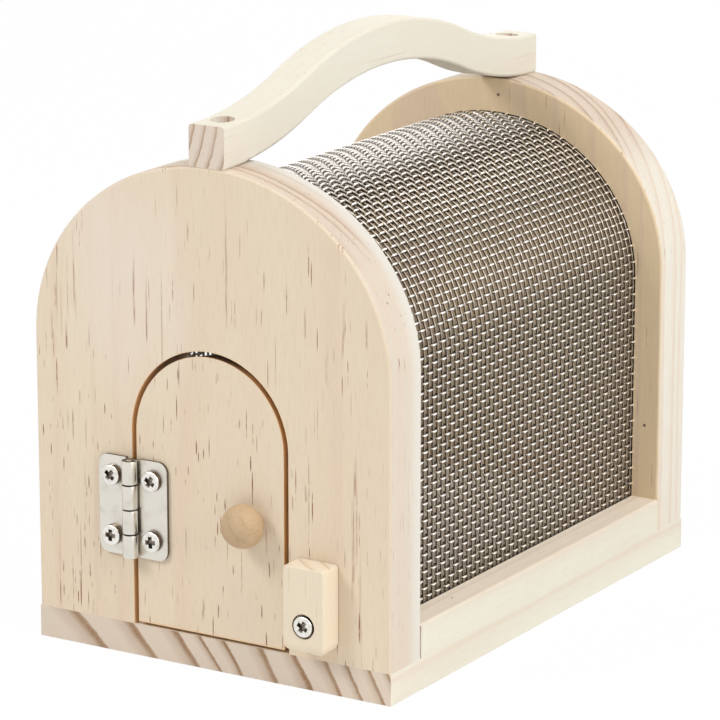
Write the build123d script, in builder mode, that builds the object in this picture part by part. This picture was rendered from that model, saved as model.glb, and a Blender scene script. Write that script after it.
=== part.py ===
from build123d import *
import math
import os

# Insect cage: pine base, two arched end panels, woven wire hood, door and carrying handle.
# The front faces -Y, +X is to its right, and the origin is the middle of the underside.

# Overall sizes, in millimetres
width = 102.0
depth = 150.0
base_thickness = 16.5
panel_thickness = 14.0
step_height = 8.0
edge_ease = 0.8

# Arched outline of the end panels
arch_spring = 78.5
arch_rise = 46.3
seat_cut = 0.3

# Woven wire hood and the grooves that hold it
ledge_width = 8.0
mesh_spring = 76.0
mesh_rise = 39.5
mesh_thickness = 0.9
mesh_clearance = 0.15
mesh_rows = 20
mesh_columns = 10
mesh_bar = 3.0
mesh_cut_depth = 6.0
panel_groove_depth = 3.0
base_kerf_depth = 4.0

# Door sawn out of the front panel
door_width = 42.4
door_spring = 57.3
door_kerf = 1.3
door_floor_gap = 0.8
door_bevel_angle = 8.5
door_back_gap = 0.2

# Butt hinge
hinge_height = 25.0
leaf_width = 10.0
leaf_thickness = 0.9
leaf_corner = 2.6
hinge_centre_z = 38.0
barrel_radius = 1.95
axis_offset = 2.2
pin_radius = 0.95
pin_clearance = 0.05
knuckle_count = 4
knuckle_gap = 0.15
leaf_slot_gap = 0.35
hinge_screw_inset = 4.1
hinge_screw_spacing = 15.3
leaf_overlap = 0.9
leaf_hole_radius = 1.4
pin_chamfer = 0.2

# Pan head screws
screw_head_radius = 2.6
screw_head_height = 1.6
screw_rim_height = 0.48
screw_shoulder_radius = 1.61
screw_shoulder_height = 1.31
screw_radius = 1.2
screw_clearance = 0.05
screw_reach = 9.0
recess_arm = 1.5
recess_width = 0.75
recess_depth = 0.8

# Countersunk screws
sunk_head_radius = 3.0
sunk_screw_radius = 1.5
sunk_angle = 90.0
sunk_depth = 0.2
panel_screw_x = 37.0
panel_screw_reach = 14.0

# Carrying handle
handle_width = 10.0
handle_thickness = 10.5
handle_arch_height = 14.0
handle_foot_cut = 0.2
handle_counterbore_radius = 3.0
handle_counterbore_depth = 3.0
handle_screw_reach = 12.0

# Door knob
knob_x = 12.0
knob_z = 39.4
knob_radius = 5.4
knob_neck_radius = 3.4
knob_neck_length = 1.8
knob_screw_depth = 5.0

# Turn button
button_offset = 8.2
button_z = 18.2
button_width = 11.5
button_thickness = 6.5
button_long_end = 14.6
button_short_end = 7.4
button_corner = 1.0
button_round = 3.2
button_ease = 0.5
button_gap = 0.15
button_head_gap = 0.1
button_screw_reach = 9.0
button_counterbore_radius = 3.1
button_counterbore_depth = 1.3

# Door stop behind the closing edge
stop_width = 12.0
stop_thickness = 4.0
stop_height = 30.0
stop_overlap = 3.0
stop_z = 26.0

# Places worked out from the sizes above
front_y = -depth / 2
panel_inner_y = depth / 2 - panel_thickness
panel_middle_y = depth / 2 - panel_thickness / 2
crest_z = arch_spring + arch_rise
seat_z = crest_z - seat_cut
mesh_half_width = width / 2 - ledge_width
mesh_foot_z = base_thickness - base_kerf_depth
mesh_end_y = panel_inner_y + panel_groove_depth
door_half_width = door_width / 2
door_bottom = step_height + door_floor_gap
door_thickness = panel_thickness - door_back_gap
door_bevel = door_thickness * math.tan(math.radians(door_bevel_angle))
hinge_x = -door_half_width - door_kerf / 2
hinge_y = front_y - axis_offset
hinge_bottom_z = hinge_centre_z - hinge_height / 2
knuckle_pitch = hinge_height / knuckle_count
hinge_screw_zs = [hinge_centre_z - hinge_screw_spacing / 2, hinge_centre_z + hinge_screw_spacing / 2]
hinge_screw_x = leaf_width - hinge_screw_inset
pilot_radius = screw_radius + screw_clearance
sunk_hole_radius = sunk_screw_radius + screw_clearance
button_back_y = front_y - button_gap
button_front_y = button_back_y - button_thickness
button_low_z = button_z - button_short_end
opening_half_width = door_half_width + door_kerf
button_x = opening_half_width + button_offset
hinge_screw_length = screw_reach
hinge_pilot_depth = hinge_screw_length - leaf_thickness + screw_clearance
button_screw_length = button_thickness - button_counterbore_depth + button_screw_reach
button_pilot_depth = button_screw_reach
handle_base_z = seat_z - handle_foot_cut
handle_top_z = handle_base_z + handle_thickness
handle_screw_z = handle_top_z - handle_counterbore_depth
handle_screw_length = handle_screw_z - seat_z + handle_screw_reach
half_span = depth / 2
bend_radius = (half_span**2 + handle_arch_height**2) / (4 * handle_arch_height)
bend_angle = math.degrees(2 * math.atan2(handle_arch_height, half_span))
knob_bore_depth = knob_screw_depth + screw_clearance

front_face = Plane(origin=(0, front_y, 0), x_dir=(1, 0, 0), z_dir=(0, -1, 0))
door_back_plane = Plane(origin=(0, front_y + door_thickness, 0), x_dir=(-1, 0, 0), z_dir=(0, 1, 0))
facing_front = (90, 0, 0)
facing_back = (-90, 0, 0)
facing_down = (180, 0, 0)

os.makedirs("parts", exist_ok=True)


def save(part, label):
    part.label = label
    export_step(part, f"parts/{label}.step")


def arch_face(half_width, bottom, spring, rise):
    """Upright outline with straight sides and a round or elliptical head."""
    with BuildSketch() as outline:
        with BuildLine():
            Polyline(
                (half_width, spring),
                (half_width, bottom),
                (-half_width, bottom),
                (-half_width, spring),
            )
            EllipticalCenterArc((0, spring), half_width, rise, start_angle=0, arc_size=180)
        make_face()
    return outline.sketch


def hood_band(outward, inward):
    """The hood's bent section, grown by the two clearances."""
    outer = arch_face(mesh_half_width + outward, mesh_foot_z, mesh_spring, mesh_rise + outward)
    inner_inset = mesh_thickness + inward
    inner = arch_face(
        mesh_half_width - inner_inset,
        mesh_foot_z,
        mesh_spring,
        mesh_rise - inner_inset,
    )
    return outer - inner


def cross_recess(top_z):
    """The cross cut in a screw's head, its mouth at the given height."""
    with BuildPart() as recess:
        with Locations((0, 0, top_z)):
            Box(2 * recess_arm, recess_width, 2 * recess_depth)
            Box(recess_width, 2 * recess_arm, 2 * recess_depth)
    return recess.part


def pan_screw(reach):
    """Round-headed screw pointing down, the underside of its head at zero."""
    with BuildPart() as screw:
        with BuildSketch(Plane.XZ):
            with BuildLine():
                crown = ThreePointArc(
                    (0, screw_head_height),
                    (screw_shoulder_radius, screw_shoulder_height),
                    (screw_head_radius, screw_rim_height),
                )
                Polyline(
                    crown @ 1,
                    (screw_head_radius, 0),
                    (screw_radius, 0),
                    (screw_radius, screw_radius - reach),
                    (0, -reach),
                    crown @ 0,
                )
            make_face()
        revolve(axis=Axis.Z)
        add(cross_recess(screw_head_height), mode=Mode.SUBTRACT)
    return screw.part


def sunk_screw(reach):
    """Flat-headed screw pointing down, the top of its head at zero."""
    cone_height = (sunk_head_radius - sunk_screw_radius) / math.tan(math.radians(sunk_angle / 2))
    with BuildPart() as screw:
        with BuildSketch(Plane.XZ):
            with BuildLine():
                Polyline(
                    (0, 0),
                    (sunk_head_radius, 0),
                    (sunk_screw_radius, -cone_height),
                    (sunk_screw_radius, sunk_screw_radius - reach),
                    (0, -reach),
                    close=True,
                )
            make_face()
        revolve(axis=Axis.Z)
        add(cross_recess(0), mode=Mode.SUBTRACT)
    return screw.part


# Base board, rebated at both ends for the panels and kerfed along its sides for the hood
with BuildPart() as base_board:
    Box(width, depth, base_thickness, align=(Align.CENTER, Align.CENTER, Align.MIN))
    with Locations((0, panel_middle_y, step_height), (0, -panel_middle_y, step_height)):
        Box(
            width,
            panel_thickness,
            base_thickness,
            align=(Align.CENTER, Align.CENTER, Align.MIN),
            mode=Mode.SUBTRACT,
        )
    ledge_edges = base_board.edges().filter_by(Axis.Y).group_by(Axis.Z)[-1]
    fillet(ledge_edges, radius=edge_ease)
    kerf_x = mesh_half_width - mesh_thickness / 2
    with Locations((kerf_x, 0, mesh_foot_z), (-kerf_x, 0, mesh_foot_z)):
        Box(
            mesh_thickness + 2 * mesh_clearance,
            depth,
            2 * base_kerf_depth,
            align=(Align.CENTER, Align.CENTER, Align.MIN),
            mode=Mode.SUBTRACT,
        )
    with Locations(Plane.XY.rotated((180, 0, 0))):
        with GridLocations(2 * panel_screw_x, 2 * panel_middle_y, 2, 2):
            CounterSinkHole(
                radius=sunk_hole_radius,
                counter_sink_radius=sunk_head_radius + sunk_depth + screw_clearance,
                depth=step_height,
                counter_sink_angle=sunk_angle,
            )
save(base_board.part, "base_board")


# Back panel: arched board with a groove for the hood and a flat seat for the handle
with BuildPart() as back_panel:
    with BuildSketch(Plane.XZ.offset(-depth / 2)):
        add(arch_face(width / 2, step_height, arch_spring, arch_rise))
    extrude(amount=panel_thickness)
    rims = back_panel.edges().filter_by(Plane.XZ).filter_by(lambda edge: edge.center().Z > base_thickness)
    fillet(rims, radius=edge_ease)
    split(bisect_by=Plane.XY.offset(seat_z), keep=Keep.BOTTOM)
    with BuildSketch(Plane.XZ.offset(-panel_inner_y)):
        add(hood_band(mesh_clearance, mesh_clearance))
    extrude(amount=-panel_groove_depth, mode=Mode.SUBTRACT)
    with Locations((0, panel_middle_y, seat_z)):
        Hole(radius=pilot_radius, depth=handle_screw_reach + screw_clearance)
    with Locations(Plane.XY.offset(step_height).rotated((180, 0, 0))):
        with Locations((panel_screw_x, -panel_middle_y), (-panel_screw_x, -panel_middle_y)):
            Hole(radius=sunk_hole_radius, depth=panel_screw_reach + screw_clearance)
save(back_panel.part, "back_panel")

# Front panel: the back panel's twin, with the doorway and the fittings' pilot holes
with BuildPart() as front_panel:
    mirror(back_panel.part, about=Plane.XZ)
    with BuildSketch(front_face):
        add(arch_face(opening_half_width, step_height, door_spring, opening_half_width))
    extrude(amount=-panel_thickness, mode=Mode.SUBTRACT)
    with BuildSketch(front_face):
        with Locations(*[(hinge_x - hinge_screw_x, z) for z in hinge_screw_zs]):
            Circle(pilot_radius)
    extrude(amount=-hinge_pilot_depth, mode=Mode.SUBTRACT)
    with BuildSketch(front_face):
        with Locations((button_x, button_z)):
            Circle(pilot_radius)
    extrude(amount=-button_pilot_depth, mode=Mode.SUBTRACT)
save(front_panel.part, "front_panel")

# Strip glued behind the doorway's closing side, for the door to shut against
with BuildPart() as door_stop:
    stop_inner_x = door_half_width - door_bevel - stop_overlap
    with Locations((stop_inner_x, -panel_inner_y, stop_z)):
        Box(stop_width, stop_thickness, stop_height, align=(Align.MIN, Align.MIN, Align.MIN))
    fillet(door_stop.faces().sort_by(Axis.Y)[-1].edges(), radius=edge_ease)
save(door_stop.part, "door_stop")

# Line of the hood from ledge to ledge, along which its openings are spaced
with BuildLine(Plane.XZ) as hood_line:
    right_side = Line((mesh_half_width, base_thickness), (mesh_half_width, mesh_spring))
    crown = EllipticalCenterArc((0, mesh_spring), mesh_half_width, mesh_rise, start_angle=0, arc_size=180)
    Line(crown @ 1, (-mesh_half_width, base_thickness))
hood_wire = hood_line.wire()
row_pitch = hood_wire.length / mesh_rows
column_pitch = 2 * panel_inner_y / mesh_columns
row_spots = [hood_wire.location_at((row + 0.5) / mesh_rows) for row in range(mesh_rows)]

# Wire hood as a thin bent sheet with a plain grid of openings, its ends deep in the grooves
with BuildPart() as wire_mesh:
    with BuildSketch(Plane.XZ.offset(-mesh_end_y)):
        add(hood_band(0, 0))
    extrude(amount=2 * mesh_end_y)
    with Locations(*row_spots):
        with GridLocations(column_pitch, column_pitch, 1, mesh_columns):
            Box(mesh_cut_depth, column_pitch - mesh_bar, row_pitch - mesh_bar, mode=Mode.SUBTRACT)
save(wire_mesh.part, "wire_mesh")

# Carrying handle, a bar sawn to one smooth wave from panel to panel
with BuildPart() as handle:
    with BuildSketch(Plane.YZ):
        with BuildLine():
            under_low = JernArc((-depth / 2, handle_base_z), (1, 0), bend_radius, bend_angle)
            under_high = JernArc(under_low @ 1, under_low % 1, bend_radius, -bend_angle)
            Line(under_high @ 1, (0, handle_base_z + handle_arch_height + handle_thickness))
            over_low = JernArc((-depth / 2, handle_top_z), (1, 0), bend_radius, bend_angle)
            over_high = JernArc(over_low @ 1, over_low % 1, bend_radius, -bend_angle)
            Line(over_low @ 0, under_low @ 0)
        make_face()
    extrude(amount=handle_width / 2, both=True)
    mirror(about=Plane.XZ)
    long_edges = handle.edges().filter_by(GeomType.CIRCLE)
    fillet(long_edges, radius=edge_ease)
    split(bisect_by=Plane.XY.offset(seat_z), keep=Keep.TOP)
    with Locations((0, panel_middle_y), (0, -panel_middle_y)):
        with Locations((0, 0, handle_screw_z)):
            Cylinder(
                handle_counterbore_radius,
                handle_thickness,
                align=(Align.CENTER, Align.CENTER, Align.MIN),
                mode=Mode.SUBTRACT,
            )
            Cylinder(pilot_radius, handle_thickness * 2, mode=Mode.SUBTRACT)
save(handle.part, "handle")

# Door, sawn from the front panel, its edges bevelled toward the back to clear the doorway
with BuildPart() as door:
    with BuildSketch(front_face):
        add(arch_face(door_half_width, door_bottom, door_spring, door_half_width))
    extrude(amount=-door_thickness, taper=door_bevel_angle)
    with BuildSketch(front_face):
        with Locations(*[(hinge_x + hinge_screw_x, z) for z in hinge_screw_zs]):
            Circle(pilot_radius)
    extrude(amount=-hinge_pilot_depth, mode=Mode.SUBTRACT)
    with Locations(door_back_plane):
        with Locations((-knob_x, knob_z)):
            CounterSinkHole(
                radius=sunk_hole_radius,
                counter_sink_radius=sunk_head_radius + sunk_depth + screw_clearance,
                depth=door_thickness,
                counter_sink_angle=sunk_angle,
            )
save(door.part, "door")

# Turned knob, a short neck under a domed cap
with BuildPart() as door_knob:
    with BuildSketch(Plane(origin=(knob_x, front_y, knob_z), x_dir=(1, 0, 0), z_dir=(0, 0, -1))):
        with BuildLine():
            neck = Line((knob_neck_radius, 0), (knob_neck_radius, knob_neck_length))
            back = JernArc(neck @ 1, (1, 0), knob_radius - knob_neck_radius, 90)
            dome = JernArc(back @ 1, (0, 1), knob_radius, 90)
            Polyline(
                dome @ 1,
                (0, knob_bore_depth),
                (sunk_hole_radius, knob_bore_depth),
                (sunk_hole_radius, 0),
                neck @ 0,
            )
        make_face()
    revolve(axis=Axis((knob_x, front_y, knob_z), (0, -1, 0)))
save(door_knob.part, "door_knob")

# Turn button, stored upright and clear of the door, its short end rounded off
with BuildPart() as turn_button:
    with BuildSketch(front_face.offset(button_gap)):
        with Locations((button_x, button_z + (button_long_end - button_short_end) / 2)):
            Rectangle(button_width, button_long_end + button_short_end)
    extrude(amount=button_thickness)
    corner_pairs = turn_button.edges().filter_by(Axis.Y).group_by(Axis.Z)
    fillet(corner_pairs[-1], radius=button_corner)
    fillet(corner_pairs[0], radius=button_round)
    fillet(turn_button.faces().sort_by(Axis.Y)[0].edges(), radius=button_ease)
    with BuildSketch(Plane.YZ.offset(button_x)):
        with Locations((button_front_y, button_low_z)):
            Rectangle(button_round, button_round, align=(Align.MIN, Align.MIN))
        with Locations((button_front_y + button_round, button_low_z + button_round)):
            Circle(button_round, mode=Mode.SUBTRACT)
    extrude(amount=button_width, both=True, mode=Mode.SUBTRACT)
    with Locations(front_face.offset(button_gap + button_thickness)):
        with Locations((button_x, button_z)):
            CounterBoreHole(
                radius=pilot_radius,
                counter_bore_radius=button_counterbore_radius,
                counter_bore_depth=button_counterbore_depth,
                depth=button_thickness,
            )
save(turn_button.part, "turn_button")


def hinge_leaf(side, knuckles):
    """One leaf of the hinge, reaching left (-1) or right (1), with its own knuckles."""
    inner_x = leaf_overlap
    with BuildPart() as leaf:
        with Locations((hinge_x + side * inner_x, front_y, hinge_bottom_z)):
            Box(
                leaf_width - inner_x,
                leaf_thickness,
                hinge_height,
                align=(Align.MIN if side > 0 else Align.MAX, Align.MAX, Align.MIN),
            )
        corners = leaf.edges().filter_by(Axis.Y).group_by(Axis.X)[-1 if side > 0 else 0]
        fillet(corners, radius=leaf_corner)
        for index in range(knuckle_count):
            low = hinge_bottom_z + index * knuckle_pitch
            if index in knuckles:
                with Locations((hinge_x, hinge_y, low + knuckle_gap / 2)):
                    Cylinder(
                        barrel_radius,
                        knuckle_pitch - knuckle_gap,
                        align=(Align.CENTER, Align.CENTER, Align.MIN),
                    )
            else:
                with Locations((hinge_x, front_y, low - knuckle_gap / 2)):
                    Box(
                        2 * (barrel_radius + leaf_slot_gap),
                        2 * barrel_radius,
                        knuckle_pitch + knuckle_gap,
                        align=(Align.CENTER, Align.CENTER, Align.MIN),
                        mode=Mode.SUBTRACT,
                    )
        with Locations((hinge_x, hinge_y, hinge_centre_z)):
            Cylinder(pin_radius + pin_clearance, 2 * hinge_height, mode=Mode.SUBTRACT)
        with BuildSketch(front_face):
            with Locations(*[(hinge_x + side * hinge_screw_x, z) for z in hinge_screw_zs]):
                Circle(leaf_hole_radius)
        extrude(amount=leaf_thickness, mode=Mode.SUBTRACT)
    return leaf.part


# Hinge: two leaves with interleaved knuckles, and the pin through them
frame_knuckles = range(0, knuckle_count, 2)
door_knuckles = range(1, knuckle_count, 2)
save(hinge_leaf(-1, frame_knuckles), "hinge_frame_leaf")
save(hinge_leaf(1, door_knuckles), "hinge_door_leaf")

with BuildPart() as hinge_pin:
    with Locations((hinge_x, hinge_y, hinge_centre_z)):
        Cylinder(pin_radius, hinge_height)
    chamfer(hinge_pin.edges().filter_by(GeomType.CIRCLE), length=pin_chamfer)
save(hinge_pin.part, "hinge_pin")


def place_screws(screw, places, turn):
    """Copies of one screw, their heads turned to face one way."""
    with BuildPart() as screws:
        with Locations(*[Location(place, turn) for place in places]):
            add(screw)
    return screws.part


# Screws, each group of identical ones in one file
leaf_front_y = front_y - leaf_thickness
frame_screw_places = [(hinge_x - hinge_screw_x, leaf_front_y, z) for z in hinge_screw_zs]
door_screw_places = [(hinge_x + hinge_screw_x, leaf_front_y, z) for z in hinge_screw_zs]
button_screw_y = button_front_y + button_counterbore_depth - button_head_gap
panel_screw_places = [
    (x, y, sunk_depth) for x in (-panel_screw_x, panel_screw_x) for y in (-panel_middle_y, panel_middle_y)
]
save(place_screws(pan_screw(hinge_screw_length), frame_screw_places, facing_front), "hinge_frame_screws")
save(place_screws(pan_screw(hinge_screw_length), door_screw_places, facing_front), "hinge_door_screws")
save(
    place_screws(pan_screw(button_screw_length), [(button_x, button_screw_y, button_z)], facing_front),
    "turn_button_screw",
)
save(
    place_screws(
        pan_screw(handle_screw_length),
        [(0, -panel_middle_y, handle_screw_z), (0, panel_middle_y, handle_screw_z)],
        (0, 0, 0),
    ),
    "handle_screws",
)
save(
    place_screws(
        sunk_screw(door_thickness - sunk_depth + knob_screw_depth),
        [(knob_x, front_y + door_thickness - sunk_depth, knob_z)],
        facing_back,
    ),
    "knob_screw",
)
save(
    place_screws(
        sunk_screw(step_height - sunk_depth + panel_screw_reach),
        panel_screw_places,
        facing_down,
    ),
    "panel_screws",
)
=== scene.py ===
# %% [markdown]
# # A small pine insect cage
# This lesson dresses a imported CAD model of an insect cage: a pine base, two arched
# end panels, a woven wire hood, a little hinged door and a wavy carrying handle.
# The boards keep their CAD shapes and get a pine that is grown as a solid, so that
# the rings on a face and on the board's end belong together. The wire hood, the
# hinge and the screws are modelled again here, because woven wire and curled sheet
# metal are more than the CAD's simple solids can show.

# %% Load the frame
import math
import bisect

import bpy
from mathutils import Matrix, Vector


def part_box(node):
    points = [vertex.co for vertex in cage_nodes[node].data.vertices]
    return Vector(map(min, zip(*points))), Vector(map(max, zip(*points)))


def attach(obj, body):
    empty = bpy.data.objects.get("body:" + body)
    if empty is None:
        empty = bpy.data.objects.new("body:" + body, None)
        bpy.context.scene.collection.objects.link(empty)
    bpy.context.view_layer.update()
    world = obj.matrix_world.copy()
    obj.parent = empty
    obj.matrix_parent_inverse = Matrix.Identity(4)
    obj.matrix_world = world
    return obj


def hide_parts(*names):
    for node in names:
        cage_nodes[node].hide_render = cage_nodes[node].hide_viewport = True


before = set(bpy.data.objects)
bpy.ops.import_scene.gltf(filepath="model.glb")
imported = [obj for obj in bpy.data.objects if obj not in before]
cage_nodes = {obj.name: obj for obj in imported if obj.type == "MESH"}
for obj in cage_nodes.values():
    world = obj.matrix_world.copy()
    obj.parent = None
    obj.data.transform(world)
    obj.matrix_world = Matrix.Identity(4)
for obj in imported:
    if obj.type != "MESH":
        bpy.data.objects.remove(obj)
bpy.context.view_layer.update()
mm = 0.001

# %% [markdown]
# ## The camera
# The cage was looked at from the right front, a little from above and from about a
# metre away, so its lines run together only slightly. A long lens on a camera that
# far off gives the same gentle perspective.

# %% Camera
heading = math.radians(31.62)
tilt = math.radians(-14.61)
lens_length = 199.28
film_width = 36
camera_data = bpy.data.cameras.new("camera")
camera_data.lens = lens_length
camera_data.sensor_width = film_width
camera = bpy.data.objects.new("camera", camera_data)
camera.location = (0.51274, -0.83885, 0.31752)
camera.rotation_euler = (math.pi / 2 + tilt, 0, heading)
bpy.context.scene.collection.objects.link(camera)
bpy.context.scene.camera = camera
bpy.context.scene.view_settings.view_transform = "Standard"
print("camera to cage:", round(camera.location.length, 3), "m")


# %% [markdown]
# ## Small helpers for materials
# Every finish below is a net of small sums on the object's own coordinates. These
# helpers add one node each and hand back its output, so that a finish reads like
# a recipe and not like wiring.

# %% Material helpers
def wire_up(tree, socket, value):
    if isinstance(value, bpy.types.NodeSocket):
        tree.links.new(value, socket)
    else:
        socket.default_value = value


def calc(tree, operation, *values, clamp=False):
    node = tree.nodes.new("ShaderNodeMath")
    node.operation = operation
    node.use_clamp = clamp
    for socket, value in zip(node.inputs, values):
        wire_up(tree, socket, value)
    return node.outputs[0]


def rise(tree, value, low, high):
    """0 below low, 1 above high, and smooth between them. It falls if low is above high."""
    node = tree.nodes.new("ShaderNodeMapRange")
    node.interpolation_type = "SMOOTHSTEP"
    wire_up(tree, node.inputs["Value"], value)
    node.inputs["From Min"].default_value = min(low, high)
    node.inputs["From Max"].default_value = max(low, high)
    node.inputs["To Min"].default_value = 0 if low < high else 1
    node.inputs["To Max"].default_value = 1 if low < high else 0
    return node.outputs["Result"]


def blend_colour(tree, share, first, second):
    node = tree.nodes.new("ShaderNodeMix")
    node.data_type = "RGBA"
    wire_up(tree, node.inputs["Factor"], share)
    colour_inputs = [socket for socket in node.inputs if socket.type == "RGBA"]
    for socket, colour in zip(colour_inputs, (first, second)):
        wire_up(tree, socket, colour if isinstance(colour, bpy.types.NodeSocket) else (*colour, 1))
    return [socket for socket in node.outputs if socket.type == "RGBA"][0]


def stretched(tree, vector, scale, shift=(0, 0, 0)):
    node = tree.nodes.new("ShaderNodeMapping")
    tree.links.new(vector, node.inputs["Vector"])
    node.inputs["Scale"].default_value = scale
    node.inputs["Location"].default_value = shift
    return node.outputs["Vector"]


def parts_of(tree, vector):
    node = tree.nodes.new("ShaderNodeSeparateXYZ")
    tree.links.new(vector, node.inputs[0])
    return node.outputs[:]


def cloudy(tree, vector, detail=2.0, roughness=0.5):
    node = tree.nodes.new("ShaderNodeTexNoise")
    tree.links.new(vector, node.inputs["Vector"])
    node.inputs["Scale"].default_value = 1.0
    node.inputs["Detail"].default_value = detail
    node.inputs["Roughness"].default_value = roughness
    return node.outputs["Fac"]


def ramp(tree, value, stops):
    node = tree.nodes.new("ShaderNodeValToRGB")
    wire_up(tree, node.inputs["Fac"], value)
    elements = node.color_ramp.elements
    elements[0].position, elements[1].position = stops[0][0], stops[-1][0]
    for position, level in stops[1:-1]:
        elements.new(position)
    for element, (position, level) in zip(elements, stops):
        element.position = position
        element.color = (level, level, level, 1)
    return node.outputs["Color"]


# %% [markdown]
# ## Sums that come back
# A few short sums are needed by many finishes: a part of a share, a share that never
# falls below a floor, a random swing to both sides of nought, and the distance
# between two places. Each gets a name here, so that it is written only once.

# %% Sums and new finishes
def part(tree, share, amount):
    return calc(tree, "MULTIPLY", share, amount)


def with_floor(tree, share, floor):
    """A share from 0 to 1, squeezed so that it starts at the floor."""
    return calc(tree, "MULTIPLY_ADD", share, 1 - floor, floor)


def swing(tree, vector, reach, detail=2.0):
    """A cloudy value around nought, which swings half the reach to either side."""
    return part(tree, calc(tree, "SUBTRACT", cloudy(tree, vector, detail), 0.5), reach)


def distance_between(tree, place, middle):
    total = 0.0
    for value, middle_value in zip(place, middle):
        square = calc(tree, "POWER", calc(tree, "SUBTRACT", value, middle_value), 2.0)
        total = calc(tree, "ADD", total, square)
    return calc(tree, "SQRT", total)


def new_finish(name):
    material = bpy.data.materials.new(name)
    material.use_nodes = True
    return material, material.node_tree, material.node_tree.nodes["Principled BSDF"]


def add_relief(tree, shader, height, strength, depth):
    """Lets light see small hills, as deep as given in millimetres."""
    relief = tree.nodes.new("ShaderNodeBump")
    relief.inputs["Strength"].default_value = strength
    relief.inputs["Distance"].default_value = depth * mm
    tree.links.new(height, relief.inputs["Height"])
    tree.links.new(relief.outputs["Normal"], shader.inputs["Normal"])


# %% [markdown]
# ## Growth rings
# A pine board shows soft bands on its faces and slanted dark stripes on its ends.
# Both are the same growth rings, cut along or across. So the finish measures how
# far each point lies from the tree's middle, the pith, and turns that distance into
# rings. The pith lies outside the board, and each board has its own, as boards do.
# Within a year the wood darkens slowly, and then the next year starts pale again.

# %% Growth rings
# Place within the year, and how dark the wood is there
year_profile = [(0.0, 0.40), (0.04, 0.05), (0.5, 0.04), (0.78, 0.36), (0.92, 1.0), (1.0, 0.80)]
first_year = 0.3


def growth_rings(tree, place_across, pith, ring_radii, grained):
    """How much late wood there is, from 0 to 1. Lengths are in millimetres."""
    slow_wobble = swing(tree, grained(0.035, 0.012), 2.0)
    fine_wobble = swing(tree, grained(0.5, 0.03, 7), 0.7)
    radius = distance_between(tree, place_across, pith)
    radius = calc(tree, "ADD", radius, calc(tree, "ADD", slow_wobble, fine_wobble))
    inner, outer = ring_radii[0], ring_radii[-1]
    years = len(ring_radii) - 1
    share = calc(tree, "DIVIDE", calc(tree, "SUBTRACT", radius, inner), outer - inner, clamp=True)
    stops = [((ring - inner) / (outer - inner), max(index, first_year) / years)
             for index, ring in enumerate(ring_radii)]
    year = part(tree, ramp(tree, share, stops), float(years))
    return ramp(tree, calc(tree, "FRACT", year), year_profile)


# %% [markdown]
# ## Resin ducts
# Pine is full of resin ducts: long thin specks in the solid, which show as dark
# dashes on a face and as dots on an end. A cell pattern that is stretched along the
# grain gives each cell one speck, and the cell's random value says how large it is
# or that the cell stays empty. There are three kinds, from short dashes, which crowd
# in the lower wood and towards the left, to a few long fine lines.

# %% Resin ducts
# Cells per millimetre across and along the grain, size in cells, empty share, shift
short_ducts = (1.35, 0.130, 0.30, 0.45, 0.0)
long_ducts = (1.30, 0.055, 0.29, 0.58, 31.0)
fine_lines = (1.20, 0.018, 0.27, 0.72, 53.0)
speck_edge = 0.09
crowded_height = (84.0, 66.0)
crowded_side = (32.0, 12.0)


def specks(tree, kind, grained):
    across, along, size, empty, shift = kind
    cells = tree.nodes.new("ShaderNodeTexVoronoi")
    tree.links.new(grained(across, along, shift), cells.inputs["Vector"])
    cells.inputs["Scale"].default_value = 1.0
    draw = tree.nodes.new("ShaderNodeSeparateColor")
    tree.links.new(cells.outputs["Color"], draw.inputs[0])
    above = calc(tree, "MAXIMUM", calc(tree, "SUBTRACT", draw.outputs[0], empty), 0.0)
    reach = part(tree, calc(tree, "POWER", above, 0.5), size / (1 - empty) ** 0.5)
    return rise(tree, calc(tree, "SUBTRACT", reach, cells.outputs["Distance"]), 0.0, speck_edge)


def resin_ducts(tree, point, grained, amount):
    x, y, z = point
    patches = rise(tree, cloudy(tree, grained(0.07, 0.03, 19)), 0.34, 0.58)
    patchy = part(tree, with_floor(tree, patches, 0.3), amount)
    low_down = part(tree, with_floor(tree, rise(tree, z, *crowded_height), 0.15), patchy)
    low_down = part(tree, with_floor(tree, rise(tree, x, *crowded_side), 0.25), low_down)
    ducts = 0.0
    for kind, crowding in ((short_ducts, low_down), (long_ducts, patchy), (fine_lines, 0.6 * amount)):
        ducts = calc(tree, "MAXIMUM", ducts, part(tree, specks(tree, kind, grained), crowding))
    ragged = rise(tree, cloudy(tree, grained(1.6, 0.35, 37)), 0.28, 0.55)
    return part(tree, ducts, ragged)


# %% [markdown]
# ## The whole pine
# The finish starts from the board's pale tone and lays everything else over it in
# thin coats: late wood, end grain, slow warm clouds, fibres, a fine mottle as sanding
# leaves it, ducts, and then whatever this one board has of its own. The hard late
# rings shine a little more than the rest.

# %% Pine
# How squarely a surface has to look along an axis to count as a face or as an end
face_turn = (0.4, 0.8)
end_turn = (0.55, 0.85)


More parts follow.
